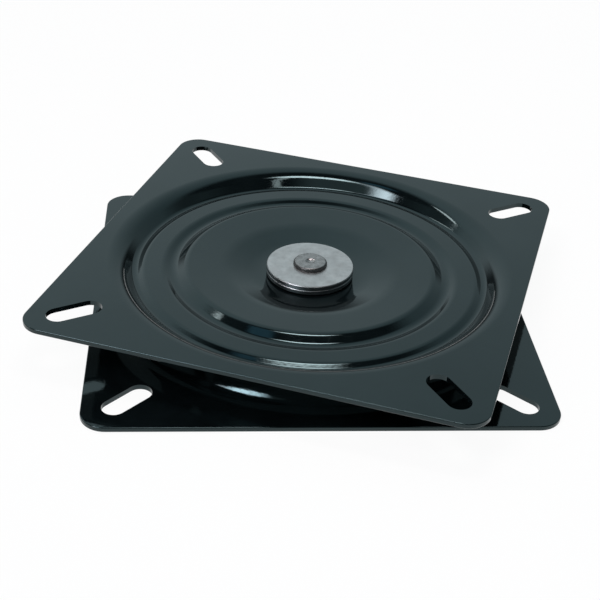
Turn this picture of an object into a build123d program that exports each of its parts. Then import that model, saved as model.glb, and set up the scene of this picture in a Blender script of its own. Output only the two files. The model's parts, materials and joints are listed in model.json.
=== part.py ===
from build123d import *
import os
from math import radians, sqrt, tan

# A boat seat swivel: two pressed steel plates, back to back, turn on a rivet and a ring of balls.
# All lengths are in millimetres and all angles in degrees.

# Pressed plate, one pressing used twice
plate_side = 178.0
corner_radius = 9.7
sheet = 2.0
edge_round = 0.4
plate_gap = 0.75
plate_twist = -20.7

# Mounting slots, on the plate's diagonals
slot_length = 22.0
slot_width = 9.4
slot_margin = 8.6

# Dish, from the flange inwards: wall, outer groove, ball track, inner groove, pan and hub pad
rim_width = 5.6
wall_angle = 47.0
wall_bend = 10.3
outer_groove_bend = 2.5
track_rise = 2.0
track_width = 8.1
track_outer_angle = 28.0
track_outer_bend = 3.5
track_inner_angle = 26.0
track_inner_bend = 5.0
inner_groove_bend = 4.0
pan_step = 3.25
pan_step_angle = 31.0
pan_step_bend = 4.0
pan_fall = 1.3
pan_bend = 30.0
hub_angle = 14.0
pad_bend = 30.0
pad_margin = 4.2
floor_depth = 8.2

# Balls and their cage
ball_diameter = 7.144
ball_count = 14
track_clearance = 0.1
cage_sheet = 1.2
cage_web = 1.7
pocket_clearance = 0.3

# Hub stack: rivet and washers
shank_diameter = 10.0
running_clearance = 0.08
washer_diameter = 36.2
washer_sheet = 2.0
washer_chamfer = 0.3
thrust_inset = 0.1
thrust_sheet = 2.0
slip_diameter = 30.0
slip_sheet = 0.5
slip_gap = 0.05
upper_head_diameter = 14.0
upper_head_height = 1.7
upper_head_round = 1.1
dimple_diameter = 4.0
dimple_depth = 0.8
lower_head_diameter = 19.0
lower_head_height = 3.0
lower_head_chamfer = 1.2

# Heights above the lower plate's flange face
overall_height = 2 * (floor_depth + sheet) + plate_gap
middle_height = overall_height / 2
pad_height = overall_height - floor_depth
slip_base = pad_height + slip_gap
thrust_base = slip_base + slip_sheet
washer_base = thrust_base + thrust_sheet
head_base = washer_base + washer_sheet

# Depths of the dish below its flange's face: the balls, which run at mid height, set the track's
track_depth = middle_height - ball_diameter / 2 - track_clearance - sheet
groove_depth = track_depth + track_rise
step_depth = groove_depth - pan_step
pan_depth = step_depth + pan_fall


def run(drop, angle):
    # How far a slope reaches while it falls by drop
    return drop / tan(radians(angle))


# Radii of the dish's corners, from the flange inwards and from the hub outwards
dish_radius = plate_side / 2 - rim_width
wall_top_radius = dish_radius - wall_bend * tan(radians(wall_angle / 2))
outer_groove_radius = wall_top_radius - run(groove_depth, wall_angle)
track_outer_radius = outer_groove_radius - run(track_rise, track_outer_angle)
track_inner_radius = track_outer_radius - track_width
track_radius = (track_inner_radius + track_outer_radius) / 2
inner_groove_radius = track_inner_radius - run(track_rise, track_inner_angle)
step_radius = inner_groove_radius - run(pan_step, pan_step_angle)
bore_radius = shank_diameter / 2 + running_clearance
pad_radius = washer_diameter / 2 + pad_margin
pan_radius = pad_radius + run(floor_depth - pan_depth, hub_angle)
thrust_diameter = washer_diameter - 2 * thrust_inset


def pressing():
    # One plate with its flange's face at Z = 0 and its dish below, as the upper plate lies.
    # The face is drawn as one line from the bore to the edge, and the sheet's thickness goes under it.
    blank_reach = plate_side / sqrt(2)
    face_line = FilletPolyline(
        (bore_radius, -floor_depth),
        (pad_radius, -floor_depth),
        (pan_radius, -pan_depth),
        (step_radius, -step_depth),
        (inner_groove_radius, -groove_depth),
        (track_inner_radius, -track_depth),
        (track_outer_radius, -track_depth),
        (outer_groove_radius, -groove_depth),
        (wall_top_radius, 0),
        (blank_reach, 0),
        radius=[
            pad_bend,
            pan_bend,
            pan_step_bend,
            inner_groove_bend,
            track_inner_bend,
            track_outer_bend,
            outer_groove_bend,
            wall_bend,
        ],
    )
    section = make_face(face_line.offset_2d(sheet, side=Side.RIGHT))
    dished = revolve(Plane.XZ * section, Axis.Z)

    corner_tip = (plate_side / 2 - corner_radius) * sqrt(2) + corner_radius
    slot_reach = corner_tip - slot_margin - slot_length / 2
    square_corners = PolarLocations(slot_reach, 4, start_angle=45)
    outline = RectangleRounded(plate_side, plate_side, corner_radius)
    outline -= square_corners * SlotOverall(slot_length, slot_width)
    plate = dished & extrude(outline, amount=-(floor_depth + sheet))

    # The sheared edges all round the plate, on both faces of the flange
    flange_faces = plate.faces().filter_by(Plane.XY).filter_by_position(Axis.Z, -1.5 * sheet, sheet)
    return fillet([edge for face in flange_faces for edge in face.outer_wire().edges()], edge_round)


def washer(diameter, thickness, height):
    # A flat washer on the rivet's shank, with the blanked edge broken on both sides
    disc = Cylinder(diameter / 2, thickness, align=(Align.CENTER, Align.CENTER, Align.MIN))
    disc -= Cylinder(bore_radius, thickness, align=(Align.CENTER, Align.CENTER, Align.MIN))
    rim = disc.edges().filter_by(GeomType.CIRCLE).group_by(SortBy.RADIUS)[-1]
    return Pos(0, 0, height) * chamfer(rim, min(washer_chamfer, thickness / 4))


def rivet():
    # Low round head underneath, shank through both plates, clenched head on top with a punched dimple
    from_below = (Align.CENTER, Align.CENTER, Align.MIN)
    lower_base = floor_depth - lower_head_height
    head_top = head_base + upper_head_height
    lower_head = Pos(0, 0, lower_base) * Cylinder(lower_head_diameter / 2, lower_head_height, align=from_below)
    lower_head = chamfer(lower_head.edges().sort_by(Axis.Z)[:1], lower_head_chamfer)
    upper_head = Pos(0, 0, head_base) * Cylinder(upper_head_diameter / 2, upper_head_height, align=from_below)
    upper_head = fillet(upper_head.edges().sort_by(Axis.Z)[-1:], upper_head_round)
    shank = Pos(0, 0, floor_depth) * Cylinder(shank_diameter / 2, head_base - floor_depth, align=from_below)
    punch_radius = (dimple_diameter**2 / 4 + dimple_depth**2) / (2 * dimple_depth)
    punch = Pos(0, 0, head_top - dimple_depth + punch_radius) * Sphere(punch_radius)
    return lower_head + shank + upper_head - punch


def cage():
    # A flat ring at mid height with a round pocket for each ball
    ring_half = ball_diameter / 2 + pocket_clearance + cage_web
    ring = Cylinder(track_radius + ring_half, cage_sheet)
    ring -= Cylinder(track_radius - ring_half, cage_sheet)
    pocket = Cylinder(ball_diameter / 2 + pocket_clearance, cage_sheet)
    ring -= PolarLocations(track_radius, ball_count) * pocket
    return Pos(0, 0, middle_height) * ring


def balls():
    places = Pos(0, 0, middle_height) * PolarLocations(track_radius, ball_count)
    return [place * Sphere(ball_diameter / 2) for place in places]


plate = pressing()
nodes = {
    "lower_plate": Rot(180, 0, 0) * plate,
    "upper_plate": Pos(0, 0, overall_height) * Rot(0, 0, plate_twist) * plate,
    "pivot_rivet": rivet(),
    "rivet_washer": washer(washer_diameter, washer_sheet, washer_base),
    "thrust_washer": washer(thrust_diameter, thrust_sheet, thrust_base),
    "slip_washer": washer(slip_diameter, slip_sheet, slip_base),
    "ball_cage": cage(),
}
for number, ball in enumerate(balls(), start=1):
    nodes[f"ball_{number:02d}"] = ball

os.makedirs("parts", exist_ok=True)
for name, solid in nodes.items():
    export_step(solid, f"parts/{name}.step")
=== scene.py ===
import bpy
import json
from math import atan2, ceil, cos, degrees, pi, radians, sin, sqrt, tan
from mathutils import Matrix, Vector
from mathutils.geometry import tessellate_polygon


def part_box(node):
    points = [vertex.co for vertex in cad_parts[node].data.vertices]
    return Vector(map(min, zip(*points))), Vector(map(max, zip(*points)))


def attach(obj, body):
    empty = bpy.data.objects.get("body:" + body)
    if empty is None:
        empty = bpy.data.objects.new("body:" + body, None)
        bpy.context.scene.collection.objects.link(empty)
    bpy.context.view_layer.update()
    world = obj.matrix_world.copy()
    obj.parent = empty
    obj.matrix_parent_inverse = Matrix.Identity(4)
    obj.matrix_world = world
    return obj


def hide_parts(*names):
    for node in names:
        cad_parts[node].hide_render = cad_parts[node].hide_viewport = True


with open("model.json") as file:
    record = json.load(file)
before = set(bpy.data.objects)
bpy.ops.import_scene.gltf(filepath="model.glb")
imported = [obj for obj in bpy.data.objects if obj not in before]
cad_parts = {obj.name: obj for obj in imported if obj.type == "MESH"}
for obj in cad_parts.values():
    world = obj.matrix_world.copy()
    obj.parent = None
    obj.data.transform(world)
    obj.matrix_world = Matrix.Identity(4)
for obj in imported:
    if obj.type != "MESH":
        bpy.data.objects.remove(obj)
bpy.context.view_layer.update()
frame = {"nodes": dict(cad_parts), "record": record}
nodes = frame["nodes"]
scene = bpy.context.scene
scene.view_settings.view_transform = "Standard"
print("swivel: frame loaded with", len(nodes), "parts")


# camera, at the angle of the photograph

photoView = {
    "turn": -5.70,                        # degrees round from the front, to the left
    "height": 32.373,                     # degrees above the floor
    "roll": 3.38,
    "reach": 0.5211,                      # metres from the aim point
    "aim": (-0.003367, -0.00025, 0.0),
    "lens": 73.97,
    "sensor": 36,
    "nearest": 0.01,
}


def viewAxes(turn, height):
    around, rise = radians(turn), radians(height)
    back = Vector((sin(around) * cos(rise), -cos(around) * cos(rise), sin(rise)))
    right = Vector((cos(around), sin(around), 0))
    return right, back.cross(right), back


def placeCamera(p):
    right, up, back = viewAxes(p["turn"], p["height"])
    roll = radians(p["roll"])
    sideways = right * cos(roll) + up * sin(roll)
    upwards = up * cos(roll) - right * sin(roll)
    eye = Vector(p["aim"]) + back * p["reach"]
    data = bpy.data.cameras.new("photoCamera")
    data.lens = p["lens"]
    data.sensor_width = p["sensor"]
    data.clip_start = p["nearest"]
    camera = bpy.data.objects.new("photoCamera", data)
    scene.collection.objects.link(camera)
    turn = Matrix((sideways, upwards, back)).transposed().to_4x4()
    camera.matrix_world = Matrix.Translation(eye) @ turn
    scene.camera = camera


placeCamera(photoView)
print("swivel: camera placed")


# small helpers for node trees

def feed(tree, node, inputs):
    for name, value in inputs.items():
        if isinstance(value, bpy.types.NodeSocket):
            tree.links.new(value, node.inputs[name])
        else:
            node.inputs[name].default_value = value


def addNode(tree, kind, inputs=None, **settings):
    node = tree.nodes.new(kind)
    for name, value in settings.items():
        setattr(node, name, value)
    feed(tree, node, inputs or {})
    return node


def calc(tree, operation, *values):
    return addNode(tree, "ShaderNodeMath", dict(enumerate(values)), operation=operation).outputs[0]


def vectorCalc(tree, operation, *values):
    return addNode(tree, "ShaderNodeVectorMath", dict(enumerate(values)), operation=operation).outputs


def evenStep(tree, value, low, high, first=0.0, last=1.0, kind="LINEAR"):
    step = addNode(tree, "ShaderNodeMapRange", {
        "Value": value, "From Min": low, "From Max": high, "To Min": first, "To Max": last},
        interpolation_type=kind)
    return step.outputs[0]


def blendStep(tree, value, low, high, first=0.0, last=1.0):
    return evenStep(tree, value, low, high, first, last, "SMOOTHSTEP")


def mixTone(tree, share, first, second, blend="MIX"):
    mix = addNode(tree, "ShaderNodeMix", {0: share, 6: first, 7: second}, data_type="RGBA", blend_type=blend)
    return mix.outputs[2]


def mixValue(tree, share, first, second):
    return addNode(tree, "ShaderNodeMix", {0: share, 2: first, 3: second}).outputs[0]


def newTree(holder):
    holder.use_nodes = True
    holder.node_tree.nodes.clear()
    return holder.node_tree


# the studio: a pale floor, and a soft room with a few lamps in it

studio = {
    "floorSize": 30.0,
    "floorDrop": 0.0002,                  # just under the lower flange
    "floorTone": (0.90, 0.90, 0.90, 1),
    "floorLift": 0.94,                    # share of plain white in the floor as it is seen or mirrored
    # the pairs are limits of where a ray points, each from -1 to 1: Ahead, Sides (+ to the right) and Up
    "wallAhead": (0.14, 0.42),            # where the pale wall's light starts and where it is full
    "wallLow": (0.505, 0.655, 0.67, 1),   # the wall's light near the floor
    "wallHigh": (0.665, 0.87, 0.89, 1),   # and near its top
    "wallUp": (0.17, 0.80),
    "wallLeft": (1.37, 1.22, 1.235, 1),   # its cast at the far left
    "wallRight": (0.58, 0.58, 0.60, 1),   # and at the far right
    "wallSides": (-0.6, 0.6),
    "wallFoot": 0.06,                     # share of its light at the horizon
    "footUp": (0.08, 0.28),
    "lowTone": (0.30, 0.38, 0.39, 1),     # the room low down, at the sides and behind
    "sideTone": (0.13, 0.165, 0.17, 1),   # higher up at both sides
    "sideUp": (0.30, 0.42),
    "rearTone": (0.042, 0.055, 0.058, 1),  # higher up behind the camera
    "rearUp": (0.45, 0.62),
    "rearAhead": (-0.40, -0.05),
    "topTone": (0.017, 0.022, 0.024, 1),  # overhead
    "topUp": (0.68, 0.80),
    "skirtTone": (0.95, 0.95, 0.95, 1),   # a pale skirt along the floor's edge,
    "skirtAround": 0.13,                  # up to this height at the sides and behind,
    "skirtFront": 0.062,                  # to this straight ahead,
    "skirtGap": -0.1,                     # and under the horizon between them
    "gapAhead": (0.70, 0.80),
    "frontAhead": (0.925, 0.94),
    "skirtSoft": 0.008,                   # half the height over which its edge fades
}


def makeFloor(s):
    half = s["floorSize"] / 2
    corners = [(-half, -half, 0), (half, -half, 0), (half, half, 0), (-half, half, 0)]
    mesh = bpy.data.meshes.new("floor")
    mesh.from_pydata(corners, [], [(0, 1, 2, 3)])
    floor = bpy.data.objects.new("floor", mesh)
    floor.location.z = -s["floorDrop"]
    scene.collection.objects.link(floor)
    material = bpy.data.materials.new("floorPaper")
    tree = newTree(material)
    paper = addNode(tree, "ShaderNodeBsdfDiffuse", {"Color": s["floorTone"]})
    white = addNode(tree, "ShaderNodeEmission", {"Color": (1, 1, 1, 1), "Strength": 1.0})
    rays = tree.nodes.new("ShaderNodeLightPath")
    direct = calc(tree, "MAXIMUM", rays.outputs["Is Camera Ray"], rays.outputs["Is Glossy Ray"])
    seen = calc(tree, "MAXIMUM", direct, rays.outputs["Is Transmission Ray"])
    lift = calc(tree, "MULTIPLY", seen, s["floorLift"])
    lit = addNode(tree, "ShaderNodeMixShader", {0: lift, 1: paper.outputs[0], 2: white.outputs[0]})
    clear = tree.nodes.new("ShaderNodeBsdfTransparent")
    side = tree.nodes.new("ShaderNodeNewGeometry")
    sheet = addNode(tree, "ShaderNodeMixShader",
                    {0: side.outputs["Backfacing"], 1: lit.outputs[0], 2: clear.outputs[0]})
    addNode(tree, "ShaderNodeOutputMaterial", {"Surface": sheet.outputs[0]})
    mesh.materials.append(material)


# each far lamp: degrees round from straight behind the swivel (+ to the right), degrees up, degrees wide and
# high, share of its size over which its edge fades, brightness, colour
lamps = {
    "leftBox": {
        "round": -123, "up": 54, "size": (10, 25), "fade": 0.7,
        "glow": 17, "tone": (1.04, 0.95, 1.0),
    },
    "leftTall": {
        "round": -69.9, "up": 43, "size": (4.4, 19), "fade": 0.2,
        "glow": 8, "tone": (1.06, 1.0, 0.99),
    },
    "leftLow": {
        "round": -141, "up": 47, "size": (18, 11), "fade": 0.5,
        "glow": 17, "tone": (0.95, 1.0, 1.08),
    },
    "rearPost": {
        "round": 147, "up": 63, "size": (4, 20), "fade": 0.25,
        "glow": 4, "tone": (1.06, 1.0, 0.99),
    },
    "leftSky": {
        "round": -93, "up": 71, "size": (11, 11), "fade": 0.4,
        "glow": 0.7, "tone": (0.35, 0.75, 1.0),
    },
    "leftPanel": {
        "round": -158, "up": 62, "size": (34, 26), "fade": 0.4,
        "glow": 0.45, "tone": (0.85, 1.0, 1.0),
    },
}

# the near lamp, level over the swivel's front edge
topLamp = {
    "towards": 0.038,                     # metres towards the camera
    "up": 0.537,                          # metres above the floor
    "size": (0.31, 0.12),                 # metres wide and deep
    "fade": 0.55,
    "glow": 17,
    "tone": (1.04, 1.0, 1.0),
}


def lampDirection(turnRound, up):
    right, above, back = viewAxes(photoView["turn"], 0)
    around, rise = radians(turnRound), radians(up)
    return (right * sin(around) - back * cos(around)) * cos(rise) + above * sin(rise)


def skirtLight(tree, ahead, height, s):
    aroundTop = blendStep(tree, ahead, *s["gapAhead"], s["skirtAround"], s["skirtGap"])
    frontTop = blendStep(tree, ahead, *s["frontAhead"], s["skirtGap"], s["skirtFront"])
    above = calc(tree, "SUBTRACT", height, calc(tree, "MAXIMUM", aroundTop, frontTop))
    return blendStep(tree, above, -s["skirtSoft"], s["skirtSoft"], 1.0, 0.0)


def wallLight(tree, way, s):
    ahead = vectorCalc(tree, "DOT_PRODUCT", way, lampDirection(0, 0))["Value"]
    aside = vectorCalc(tree, "DOT_PRODUCT", way, lampDirection(90, 0))["Value"]
    height = addNode(tree, "ShaderNodeSeparateXYZ", {0: way}).outputs["Z"]
    cast = mixTone(tree, evenStep(tree, aside, *s["wallSides"]), s["wallLeft"], s["wallRight"])
    wall = mixTone(tree, evenStep(tree, height, *s["wallUp"]), s["wallLow"], s["wallHigh"])
    toned = mixTone(tree, 1.0, wall, cast, "MULTIPLY")
    foot = blendStep(tree, height, *s["footUp"], s["wallFoot"], 1.0)
    lit = addNode(tree, "ShaderNodeVectorMath", {0: toned, "Scale": foot}, operation="SCALE")
    rear = mixTone(tree, blendStep(tree, height, *s["rearUp"]), s["lowTone"], s["rearTone"])
    side = mixTone(tree, blendStep(tree, height, *s["sideUp"]), s["lowTone"], s["sideTone"])
    around = mixTone(tree, blendStep(tree, ahead, *s["rearAhead"]), rear, side)
    dim = mixTone(tree, blendStep(tree, height, *s["topUp"]), around, s["topTone"])
    room = mixTone(tree, blendStep(tree, ahead, *s["wallAhead"]), dim, lit.outputs[0])
    return mixTone(tree, skirtLight(tree, ahead, height, s), room, s["skirtTone"])


def lampShape(tree, way, lamp):
    toward = lampDirection(lamp["round"], lamp["up"])
    width, height = lamp["size"]
    across = addNode(tree, "ShaderNodeMapping", {
        "Vector": way, "Location": toward, "Rotation": toward.to_track_quat("Z", "Y").to_euler(),
        "Scale": (sin(radians(width / 2)), sin(radians(height / 2)), 1)}, vector_type="TEXTURE")
    reach = vectorCalc(tree, "LENGTH", across.outputs[0])["Value"]
    return blendStep(tree, reach, 1 - lamp["fade"], 1 + lamp["fade"], 1.0, 0.0)


def makeRoom(s):
    world = bpy.data.worlds.new("studioRoom")
    scene.world = world
    tree = newTree(world)
    way = tree.nodes.new("ShaderNodeTexCoord").outputs["Generated"]
    light = wallLight(tree, way, s)
    for lamp in lamps.values():
        tone = [lamp["glow"] * part for part in lamp["tone"]] + [1]
        light = mixTone(tree, lampShape(tree, way, lamp), light, tone)
    room = addNode(tree, "ShaderNodeBackground", {"Color": light, "Strength": 1.0})
    addNode(tree, "ShaderNodeOutputWorld", {"Surface": room.outputs[0]})


def hangTopLamp(lamp):
    width, depth = lamp["size"]
    data = bpy.data.lights.new("topLamp", "AREA")
    data.shape = "ELLIPSE"
    data.size = width
    data.size_y = depth
    data.energy = lamp["glow"] * pi * pi * width * depth / 4    # so that glow is its face's brightness
    data.color = lamp["tone"]
    tree = newTree(data)
    spot = tree.nodes.new("ShaderNodeNewGeometry").outputs["Parametric"]
    fromMiddle = vectorCalc(tree, "DISTANCE", spot, (0.5, 0.5, 0))["Value"]
    share = blendStep(tree, fromMiddle, 0.5 * (1 - lamp["fade"]), 0.5, 1.0, 0.0)
    glow = addNode(tree, "ShaderNodeEmission", {"Strength": share})
    addNode(tree, "ShaderNodeOutputLight", {"Surface": glow.outputs[0]})
    light = bpy.data.objects.new("topLamp", data)
    scene.collection.objects.link(light)
    light.location = lampDirection(180, 0) * lamp["towards"] + Vector((0, 0, lamp["up"]))
    light.rotation_euler.z = radians(photoView["turn"])
    light.visible_camera = False


makeFloor(studio)
makeRoom(studio)
hangTopLamp(topLamp)
print("swivel: studio lit with", len(lamps) + 1, "lamps")


# effects that several finishes share

cloudLook = {"detail": 5.0, "roughness": 0.62, "spread": (0.32, 0.68)}

scuffLook = {
    "wanderScale": 45.0,                  # how the scratches stray from straight lines
    "wander": 0.012,
    "width": 0.035,
    "patchScale": 110.0,                  # where they gather
    "patch": (0.50, 0.66),
}


def newGroup(name, inputs, output):
    group = bpy.data.node_groups.new(name, "ShaderNodeTree")
    for label, value in inputs.items():
        socket = group.interface.new_socket(label, in_out="INPUT", socket_type="NodeSocketFloat")
        socket.default_value = value
    group.interface.new_socket(output, in_out="OUTPUT", socket_type="NodeSocketFloat")
    return group, group.nodes.new("NodeGroupInput"), group.nodes.new("NodeGroupOutput")


def makeMottle(p):
    group, given, made = newGroup("mottle", {"Scale": 60.0, "Low": 0.0, "High": 1.0}, "Tone")
    place = group.nodes.new("ShaderNodeTexCoord").outputs["Object"]
    cloud = addNode(group, "ShaderNodeTexNoise", {
        "Vector": place, "Scale": given.outputs["Scale"],
        "Detail": p["detail"], "Roughness": p["roughness"]})
    tone = evenStep(group, cloud.outputs["Fac"], *p["spread"], given.outputs["Low"], given.outputs["High"])
    group.links.new(tone, made.inputs["Tone"])
    return group


def makeScuffs(p):
    group, given, made = newGroup("scuffs", {"Scale": 400.0, "Amount": 0.5}, "Mask")
    place = group.nodes.new("ShaderNodeTexCoord").outputs["Object"]
    bend = addNode(group, "ShaderNodeTexNoise", {"Vector": place, "Scale": p["wanderScale"], "Detail": 2.0})
    shift = vectorCalc(group, "MULTIPLY", bend.outputs["Color"], [p["wander"]] * 3)[0]
    moved = vectorCalc(group, "ADD", place, shift)[0]
    cells = addNode(group, "ShaderNodeTexVoronoi", {"Vector": moved, "Scale": given.outputs["Scale"]},
                    feature="DISTANCE_TO_EDGE")
    line = evenStep(group, cells.outputs["Distance"], 0.0, p["width"], 1.0, 0.0)
    patch = addNode(group, "ShaderNodeTexNoise", {"Vector": place, "Scale": p["patchScale"], "Detail": 3.0})
    where = evenStep(group, patch.outputs["Fac"], *p["patch"])
    mask = calc(group, "MULTIPLY", calc(group, "MULTIPLY", line, where), given.outputs["Amount"])
    group.links.new(mask, made.inputs["Mask"])
    return group


def makeFlatness():
    # 1 on level faces, 0 on edges and walls; the washers and the rivet paint shade on the edges and walls
    # with it
    group, given, made = newGroup("flatness", {"Low": 0.3, "High": 0.9}, "Mask")
    normal = group.nodes.new("ShaderNodeNewGeometry").outputs["Normal"]
    facing = addNode(group, "ShaderNodeSeparateXYZ", {0: normal})
    level = calc(group, "ABSOLUTE", facing.outputs["Z"])
    share = blendStep(group, level, given.outputs["Low"], given.outputs["High"])
    group.links.new(share, made.inputs["Mask"])
    return group


mottle = makeMottle(cloudLook)
scuffs = makeScuffs(scuffLook)
flatness = makeFlatness()
print("swivel: shared effects ready")


def mottled(tree, scale, low=0.0, high=1.0):
    node = addNode(tree, "ShaderNodeGroup", node_tree=mottle)
    feed(tree, node, {"Scale": scale, "Low": low, "High": high})
    return node.outputs["Tone"]


def scuffed(tree, scale, amount):
    node = addNode(tree, "ShaderNodeGroup", node_tree=scuffs)
    feed(tree, node, {"Scale": scale, "Amount": amount})
    return node.outputs["Mask"]


def levelFaces(tree, low, high):
    node = addNode(tree, "ShaderNodeGroup", node_tree=flatness)
    feed(tree, node, {"Low": low, "High": high})
    return node.outputs["Mask"]


def bumped(tree, height, strength, distance):
    node = addNode(tree, "ShaderNodeBump", {"Height": height, "Strength": strength, "Distance": distance})
    return node.outputs["Normal"]


def newMaterial(name):
    material = bpy.data.materials.new(name)
    tree = newTree(material)
    shader = tree.nodes.new("ShaderNodeBsdfPrincipled")
    addNode(tree, "ShaderNodeOutputMaterial", {"Surface": shader.outputs["BSDF"]})
    return material, tree, shader


# baked gloss paint of the two pressings

blackPaint = {
    "dark": (0.0012, 0.0022, 0.0026, 1),
    "light": (0.0034, 0.0056, 0.0062, 1),
    "toneScale": 38.0,
    "sheen": (0.72, 1.0, 1.04, 1),        # the paint's gloss is a little green
    "gloss": (0.04, 0.08),                # roughness, from the smoothest to the dullest places
    "glossScale": 95.0,
    "scuffScale": 190.0,
    "scuffs": 0.10,                       # roughness that the scratches add
    "peelScale": 900.0,                   # ripple of the dried paint
    "peelHeight": 0.000009,
    "ior": 1.5,
}


def makeBlackPaint(p):
    material, tree, shader = newMaterial("blackPaint")
    place = tree.nodes.new("ShaderNodeTexCoord").outputs["Object"]
    peel = addNode(tree, "ShaderNodeTexNoise", {
        "Vector": place, "Scale": p["peelScale"], "Detail": 2.0, "Roughness": 0.4})
    haze = mottled(tree, p["glossScale"], *p["gloss"])
    wear = scuffed(tree, p["scuffScale"], p["scuffs"])
    feed(tree, shader, {
        "Base Color": mixTone(tree, mottled(tree, p["toneScale"]), p["dark"], p["light"]),
        "Roughness": calc(tree, "ADD", haze, wear),
        "Normal": bumped(tree, peel.outputs["Fac"], 1.0, p["peelHeight"]),
        "IOR": p["ior"],
        "Specular Tint": p["sheen"],
    })
    return material


# zinc plating of the two washers

zincPlate = {
    "dark": (0.437, 0.42, 0.42, 1),
    "light": (0.578, 0.56, 0.56, 1),
    "toneScale": 260.0,
    "rim": (0.21, 0.22, 0.225, 1),        # the sheared edge, painted darker as shade
    "level": (0.70, 0.97),                # where the painted shade of the rim ends and where the face starts
    "gloss": (0.30, 0.46),                # roughness of the faces
    "rimGloss": (0.28, 0.42),
    "glossScale": 480.0,
    "scuffScale": 620.0,
    "scuffs": 0.9,
    "grainScale": 1500.0,
    "grain": 0.5,
    "grainHeight": 0.00003,
}


def makeZinc(p):
    material, tree, shader = newMaterial("zincPlate")
    face = levelFaces(tree, *p["level"])
    wear = scuffed(tree, p["scuffScale"], p["scuffs"])
    top = mixTone(tree, calc(tree, "ADD", mottled(tree, p["toneScale"]), wear), p["dark"], p["light"])
    faceGloss = mottled(tree, p["glossScale"], *p["gloss"])
    rimGloss = mottled(tree, p["glossScale"], *p["rimGloss"])
    feed(tree, shader, {
        # the rims and chamfers take the dark rim colour: painted shade on the washers' sides
        "Base Color": mixTone(tree, face, p["rim"], top),
        "Roughness": mixValue(tree, face, rimGloss, faceGloss),
        "Normal": bumped(tree, mottled(tree, p["grainScale"]), p["grain"], p["grainHeight"]),
        "Metallic": 1.0,
    })
    return material


# clenched steel of the rivet

rivetSteel = {
    "dark": (0.222, 0.208, 0.207, 1),
    "light": (0.402, 0.38, 0.378, 1),
    "toneScale": 520.0,
    "rim": (0.07, 0.07, 0.07, 1),         # the head's rounded edge, painted nearly black as shade
    "level": (0.80, 0.99),
    "dimple": (0.0019, 0.0023),           # metres from the axis where the dimple ends; inside it the painted shade is left out
    "gloss": (0.20, 0.34),
    "rimGloss": (0.34, 0.48),
    "glossScale": 700.0,
    "scuffScale": 900.0,
    "scuffs": 0.4,
    "scuffHeight": 0.00004,
}


def makeRivetSteel(p):
    material, tree, shader = newMaterial("rivetSteel")
    place = tree.nodes.new("ShaderNodeTexCoord").outputs["Object"]
    around = vectorCalc(tree, "MULTIPLY", place, (1, 1, 0))[0]
    reach = vectorCalc(tree, "LENGTH", around)["Value"]
    dimple = blendStep(tree, reach, *p["dimple"], 1.0, 0.0)
    face = calc(tree, "MAXIMUM", levelFaces(tree, *p["level"]), dimple)
    top = mixTone(tree, mottled(tree, p["toneScale"]), p["dark"], p["light"])
    faceGloss = mottled(tree, p["glossScale"], *p["gloss"])
    rimGloss = mottled(tree, p["glossScale"], *p["rimGloss"])
    feed(tree, shader, {
        # the head's rounded edge outside the dimple takes the near-black rim colour: painted shade
        "Base Color": mixTone(tree, face, p["rim"], top),
        "Roughness": mixValue(tree, face, rimGloss, faceGloss),
        "Normal": bumped(tree, scuffed(tree, p["scuffScale"], 1.0), p["scuffs"], p["scuffHeight"]),
        "Metallic": 1.0,
    })
    return material


# polished bearing balls

ballSteel = {
    "dark": (0.62, 0.62, 0.64, 1),
    "light": (0.76, 0.76, 0.78, 1),
    "toneScale": 700.0,
    "gloss": (0.05, 0.12),
    "glossScale": 900.0,
}


def makeBallSteel(p):
    material, tree, shader = newMaterial("ballSteel")
    feed(tree, shader, {
        "Base Color": mixTone(tree, mottled(tree, p["toneScale"]), p["dark"], p["light"]),
        "Roughness": mottled(tree, p["glossScale"], *p["gloss"]),
        "Metallic": 1.0,
    })
    return material


# moulded nylon of the cage and the slip washer

blackNylon = {
    "dark": (0.012, 0.012, 0.013, 1),
    "light": (0.030, 0.030, 0.032, 1),
    "toneScale": 300.0,
    "gloss": (0.42, 0.58),
    "glossScale": 800.0,
    "grainScale": 2200.0,
    "grain": 0.4,
    "grainHeight": 0.00003,
    "ior": 1.53,
}


def makeBlackNylon(p):
    material, tree, shader = newMaterial("blackNylon")
    feed(tree, shader, {
        "Base Color": mixTone(tree, mottled(tree, p["toneScale"]), p["dark"], p["light"]),
        "Roughness": mottled(tree, p["glossScale"], *p["gloss"]),
        "Normal": bumped(tree, mottled(tree, p["grainScale"]), p["grain"], p["grainHeight"]),
        "IOR": p["ior"],
    })
    return material


finishes = {
    "black_paint": makeBlackPaint(blackPaint),
    "zinc_plate": makeZinc(zincPlate),
    "bare_steel": makeRivetSteel(rivetSteel),
    "ball_steel": makeBallSteel(ballSteel),
    "black_nylon": makeBlackNylon(blackNylon),
}

for part in frame["record"]["subparts"]:
    mesh = nodes[part["node"]].data
    mesh.materials.clear()
    mesh.materials.append(finishes[part["material_slot"]])


# the two pressings as fine meshes over their solids, so that the bends mirror the room without facets

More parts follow.
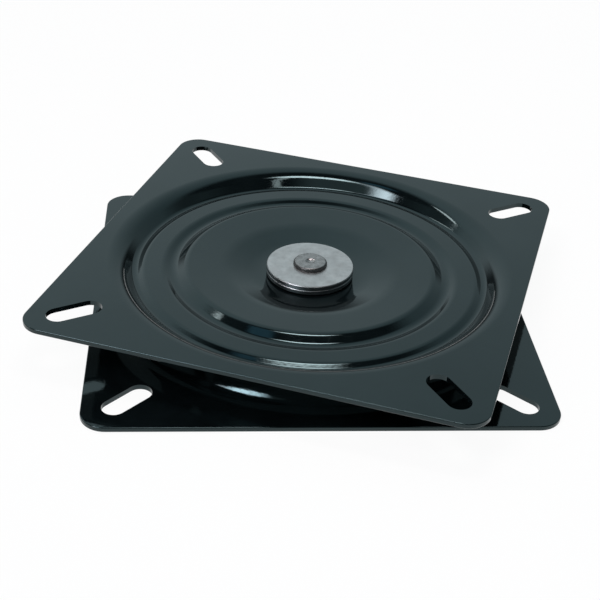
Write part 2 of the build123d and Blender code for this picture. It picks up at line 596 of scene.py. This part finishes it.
pressing = {                              # millimetres and degrees
    "side": 178.0,
    "corner": 9.7,
    "sheet": 2.0,
    "edgeRound": 0.4,
    "slotLength": 22.0,
    "slotWidth": 9.4,
    "slotMargin": 8.6,
    "bore": 5.08,
    "section": [                          # the dish's face from the hub outwards: radius, depth, bend
        (22.30, 8.20, 30.0),              # hub pad
        (35.32, 4.95, 30.0),              # pan
        (51.11, 3.65, 4.0),               # the pan's step
        (56.52, 6.90, 4.0),               # inner groove
        (60.62, 4.90, 5.0),               # ball track
        (68.72, 4.90, 3.5),
        (72.48, 6.90, 2.5),               # outer groove
        (78.92, 0.00, 10.3),              # top of the wall
    ],
    "twist": -20.7,                       # of the upper plate, seen from above
    "bendStep": 4.0,                      # degrees of bend from ring to ring
    "roundSteps": 240,
    "cornerSteps": 16,                    # in a quarter turn of a plate's corner or a slot's end
    "edgeSteps": 4,                       # across the rounded edge, on each face
}


def leftOf(way):
    return Vector((-way.y, way.x))


def dishSection(p):
    # points of the face and their normals, from the bore to where the flat flange starts
    corners = [Vector((radius, -depth)) for radius, depth, bend in p["section"]]
    line = [Vector((p["bore"], corners[0].y))] + corners + [Vector((p["side"], 0))]
    section = [(line[0], Vector((0, 1)))]
    for before, corner, after, values in zip(line, corners, line[2:], p["section"]):
        arrive = (corner - before).normalized()
        leave = (after - corner).normalized()
        turn = atan2(arrive.cross(leave), arrive.dot(leave))
        bend = values[2] if turn > 0 else -values[2]
        middle = corner - arrive * abs(bend) * tan(abs(turn) / 2) + leftOf(arrive) * bend
        steps = ceil(abs(degrees(turn)) / p["bendStep"])
        for k in range(steps + 1):
            way = Matrix.Rotation(turn * k / steps, 2) @ arrive
            section.append((middle - leftOf(way) * bend, leftOf(way)))
    return section


def plateOutline(p, inset):
    middle = p["side"] / 2 - p["corner"]
    for quarter in range(4):
        corner = Matrix.Rotation(radians(90 * quarter), 2) @ Vector((middle, middle))
        for k in range(p["cornerSteps"] + 1):
            angle = radians(90 * (quarter + k / p["cornerSteps"]))
            out = Vector((cos(angle), sin(angle)))
            yield corner + out * (p["corner"] - inset), out


def slotOutline(p, quarter):
    tip = (p["side"] / 2 - p["corner"]) * sqrt(2) + p["corner"]
    reach = tip - p["slotMargin"] - p["slotLength"] / 2
    run = (p["slotLength"] - p["slotWidth"]) / 2
    diagonal = Matrix.Rotation(radians(45 + 90 * quarter), 2)
    for end in (1, -1):
        for k in range(2 * p["cornerSteps"] + 1):
            angle = radians(90 * k / p["cornerSteps"] - 90 * end)
            out = Vector((cos(angle), sin(angle)))
            place = Vector((reach + end * run, 0)) + out * p["slotWidth"] / 2
            yield diagonal @ place, -(diagonal @ out)


class Skin:
    # points, faces, and a normal for each corner of each face
    def __init__(self):
        self.places = []
        self.faces = []
        self.normals = []

    def ring(self, outline, height):
        start = len(self.places)
        self.places += [Vector((place.x, place.y, height)) for place in outline]
        return list(range(start, len(self.places)))

    def band(self, first, firstNormals, second, secondNormals):
        for k in range(len(first)):
            j = (k + 1) % len(first)
            self.faces.append((first[k], second[k], second[j], first[j]))
            self.normals += [firstNormals[k], secondNormals[k], secondNormals[j], firstNormals[j]]

    def flat(self, rings, up):
        loops = [[self.places[k] for k in ring] for ring in rings]
        known = [k for ring in rings for k in ring]
        for triple in tessellate_polygon(loops):
            a, b, c = (known[k] for k in triple)
            across = (self.places[b] - self.places[a]).cross(self.places[c] - self.places[a])
            self.faces.append((a, b, c) if across.z * up > 0 else (a, c, b))
            self.normals += [Vector((0, 0, up))] * 3


def skinDish(skin, p, below):
    # one side of the dish, returned with its innermost and outermost rings
    around = [radians(360 * k / p["roundSteps"]) for k in range(p["roundSteps"])]
    facing = -1 if below else 1
    rings = []
    for place, normal in dishSection(p):
        reach, height = place - normal * below
        points = [Vector((reach * cos(a), reach * sin(a))) for a in around]
        normals = [Vector((normal.x * cos(a), normal.x * sin(a), normal.y)) * facing for a in around]
        rings.append((skin.ring(points, height), normals))
    for inner, outer in zip(rings, rings[1:]):
        skin.band(*(outer + inner if below else inner + outer))
    return rings[0][0], rings[-1][0]


def skinEdge(skin, p):
    # the rounded edge all round the plate, returned with its top and bottom rings
    quarter = [90 * k / p["edgeSteps"] for k in range(p["edgeSteps"] + 1)]
    steps = [(angle, 1) for angle in quarter] + [(angle, -1) for angle in reversed(quarter)]
    rings = []
    for angle, side in steps:
        out, up = sin(radians(angle)), cos(radians(angle)) * side
        outline = list(plateOutline(p, p["edgeRound"] * (1 - out)))
        height = -p["sheet"] / 2 + side * (p["sheet"] / 2 - p["edgeRound"]) + p["edgeRound"] * up
        normals = [Vector((way.x * out, way.y * out, up)) for place, way in outline]
        rings.append((skin.ring([place for place, way in outline], height), normals))
    for upper, lower in zip(rings, rings[1:]):
        skin.band(*upper, *lower)
    return rings[0][0], rings[-1][0]


def skinHole(skin, outline, top, bottom):
    normals = [Vector((way.x, way.y, 0)) for place, way in outline]
    upper = skin.ring([place for place, way in outline], top)
    lower = skin.ring([place for place, way in outline], bottom)
    skin.band(lower, normals, upper, normals)
    return upper, lower


def skinPressing(p):
    skin = Skin()
    boreTop, dishTop = skinDish(skin, p, 0)
    boreBottom, dishBottom = skinDish(skin, p, p["sheet"])
    edgeTop, edgeBottom = skinEdge(skin, p)
    slots = [skinHole(skin, list(slotOutline(p, quarter)), 0, -p["sheet"]) for quarter in range(4)]
    skin.flat([edgeTop, dishTop] + [upper for upper, lower in slots], 1)
    skin.flat([edgeBottom, dishBottom] + [lower for upper, lower in slots], -1)
    inwards = [-skin.places[k].to_2d().normalized().to_3d() for k in boreTop]
    skin.band(boreBottom, inwards, boreTop, inwards)
    return skin


def makePressing(name, skin, turn, lift, body, node):
    mesh = bpy.data.meshes.new(name)
    place = Matrix.Translation((0, 0, lift)) @ turn @ Matrix.Scale(0.001, 4)
    mesh.from_pydata([place @ point for point in skin.places], [], skin.faces)
    mesh.polygons.foreach_set("use_smooth", [True] * len(skin.faces))
    mesh.normals_split_custom_set([turn.to_3x3() @ normal for normal in skin.normals])
    mesh.materials.append(finishes["black_paint"])
    piece = bpy.data.objects.new(name, mesh)
    scene.collection.objects.link(piece)
    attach(piece, body)
    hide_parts(node)


pressingSkin = skinPressing(pressing)
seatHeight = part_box("upper_plate")[1][2]
seatTurn = Matrix.Rotation(radians(pressing["twist"]), 4, "Z")
turnedOver = Matrix.Rotation(pi, 4, "X")
makePressing("upperPressing", pressingSkin, seatTurn, seatHeight, "top", "upper_plate")
makePressing("lowerPressing", pressingSkin, turnedOver, 0, "base", "lower_plate")
print("swivel: pressings with", len(pressingSkin.faces), "faces each")
